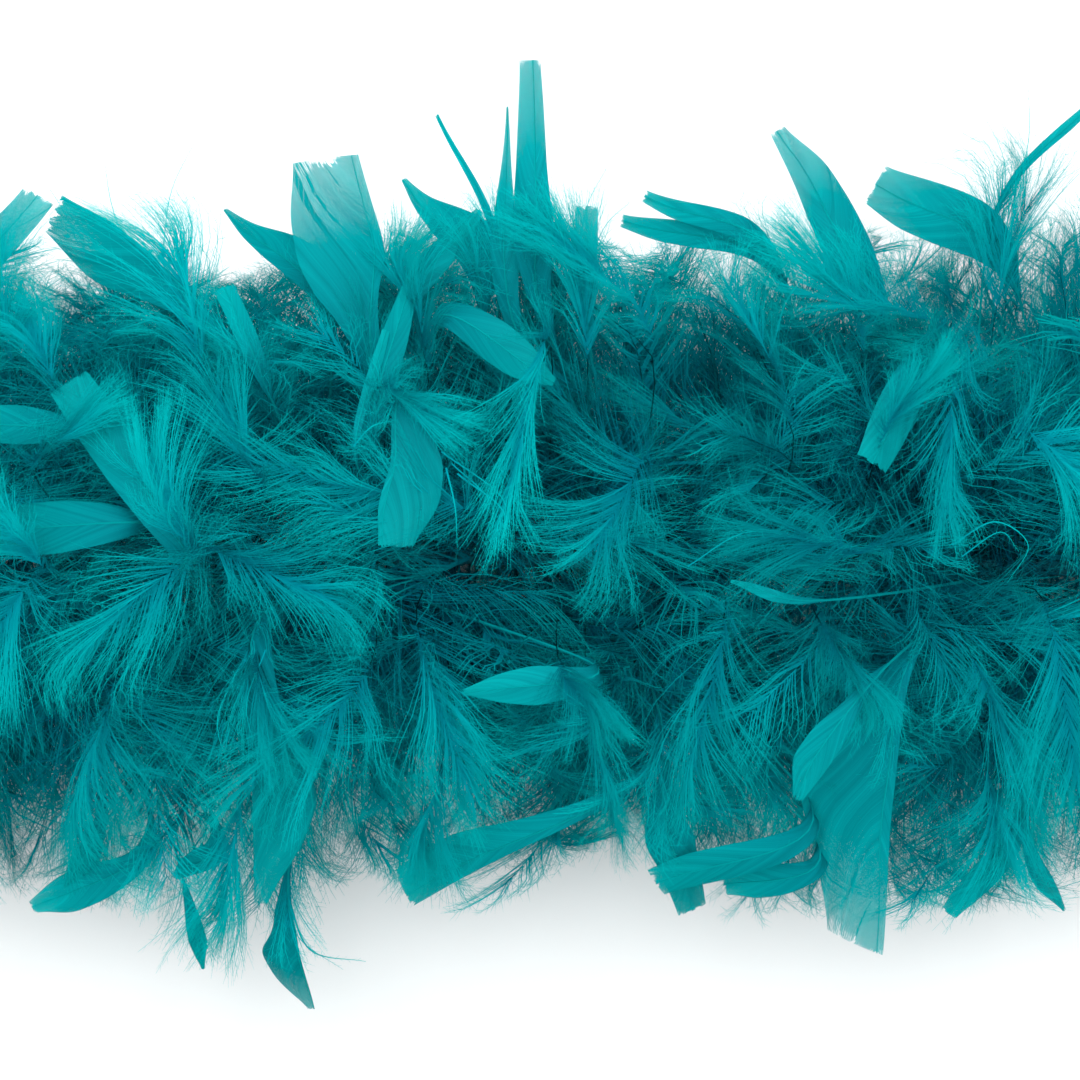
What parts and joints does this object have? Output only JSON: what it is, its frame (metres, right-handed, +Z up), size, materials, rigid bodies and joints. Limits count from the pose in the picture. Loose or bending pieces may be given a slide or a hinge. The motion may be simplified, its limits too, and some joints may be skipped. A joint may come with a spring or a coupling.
{
  "type": "feather boa",
  "caption": "Limp costume boa: a long core cord covered all round in fluffy dyed down with flat feather blades standing out of it, laid in a flat S.",
  "frame": {"origin": "on the resting plane, under the middle of the boa's length, which is the middle of its box", "axes": "+Z up from the resting plane; the middle run lies along X; the right bend is at +X and leads to the back run at +Y"},
  "size_m": [0.8008, 0.689, 0.1362],
  "materials": {
    "down": "fine fluffy down, dyed teal, bluer near the quills",
    "blade": "satin feather vane, dyed turquoise, thin and slightly see-through at the ends",
    "core_cord": "twisted two-ply cotton cord, dyed dark teal",
    "binding_thread": "wound thread, dyed dark teal"
  },
  "bodies": {
    "middle_run": {"centre_blade_1": "blade", "centre_blade_2": "blade", "centre_blade_3": "blade", "core_cord_middle": "core_cord", "lower_blade_1": "blade", "lower_blade_2": "blade", "lower_blade_3": "blade", "lower_blade_4": "blade", "lower_blade_5": "blade", "lower_blade_6": "blade", "lower_blade_7": "blade", "lower_blade_8": "blade", "middle_down_whorl_1": "down", "middle_down_whorl_2": "down", "middle_down_whorl_3": "down", "middle_down_whorl_4": "down", "middle_down_whorl_5": "down", "upper_blade_1": "blade", "upper_blade_10": "blade", "upper_blade_11": "blade", "upper_blade_12": "blade", "upper_blade_13": "blade", "upper_blade_2": "blade", "upper_blade_3": "blade", "upper_blade_4": "blade", "upper_blade_5": "blade", "upper_blade_6": "blade", "upper_blade_7": "blade", "upper_blade_8": "blade", "upper_blade_9": "blade"},
    "right_bend": {"core_cord_right_bend": "core_cord", "right_bend_down_whorl_1": "down", "right_bend_down_whorl_2": "down", "right_bend_down_whorl_3": "down", "right_bend_down_whorl_4": "down", "right_outer_blade": "blade"},
    "right_run": {"back_outer_blade": "blade", "core_cord_right_run": "core_cord", "right_run_down_whorl_1": "down", "right_run_down_whorl_2": "down"},
    "right_tail": {"core_cord_right_tail": "core_cord", "right_end_knot": "core_cord", "right_end_whipping": "binding_thread", "right_tail_down_whorl_1": "down", "right_tail_down_whorl_2": "down"},
    "left_bend": {"core_cord_left_bend": "core_cord", "left_bend_down_whorl_1": "down", "left_bend_down_whorl_2": "down", "left_bend_down_whorl_3": "down", "left_bend_down_whorl_4": "down", "left_outer_blade": "blade"},
    "left_run": {"core_cord_left_run": "core_cord", "front_outer_blade": "blade", "left_run_down_whorl_1": "down", "left_run_down_whorl_2": "down"},
    "left_tail": {"core_cord_left_tail": "core_cord", "left_end_knot": "core_cord", "left_end_whipping": "binding_thread", "left_tail_down_whorl_1": "down", "left_tail_down_whorl_2": "down"}
  },
  "joints": [
    {"name": "right_bend_fold", "type": "hinge", "parent": "middle_run", "child": "right_bend", "pos_m": [0.17968, 0.00193, 0.058], "axis": [0, 0, 1], "range_deg": [-40, 4]},
    {"name": "right_run_fold", "type": "hinge", "parent": "right_bend", "child": "right_run", "pos_m": [0.17674, 0.2387, 0.058], "axis": [0, 0, 1], "range_deg": [-40, 4]},
    {"name": "right_tail_lift", "type": "hinge", "parent": "right_run", "child": "right_tail", "pos_m": [-0.02193, 0.24046, 0.058], "axis": [0, 1, 0], "range_deg": [0, 40]},
    {"name": "left_bend_fold", "type": "hinge", "parent": "middle_run", "child": "left_bend", "pos_m": [-0.17968, -0.00193, 0.058], "axis": [0, 0, 1], "range_deg": [-40, 4]},
    {"name": "left_run_fold", "type": "hinge", "parent": "left_bend", "child": "left_run", "pos_m": [-0.17674, -0.2387, 0.058], "axis": [0, 0, 1], "range_deg": [-40, 4]},
    {"name": "left_tail_lift", "type": "hinge", "parent": "left_run", "child": "left_tail", "pos_m": [0.02193, -0.24046, 0.058], "axis": [0, -1, 0], "range_deg": [0, 40]}
  ]
}
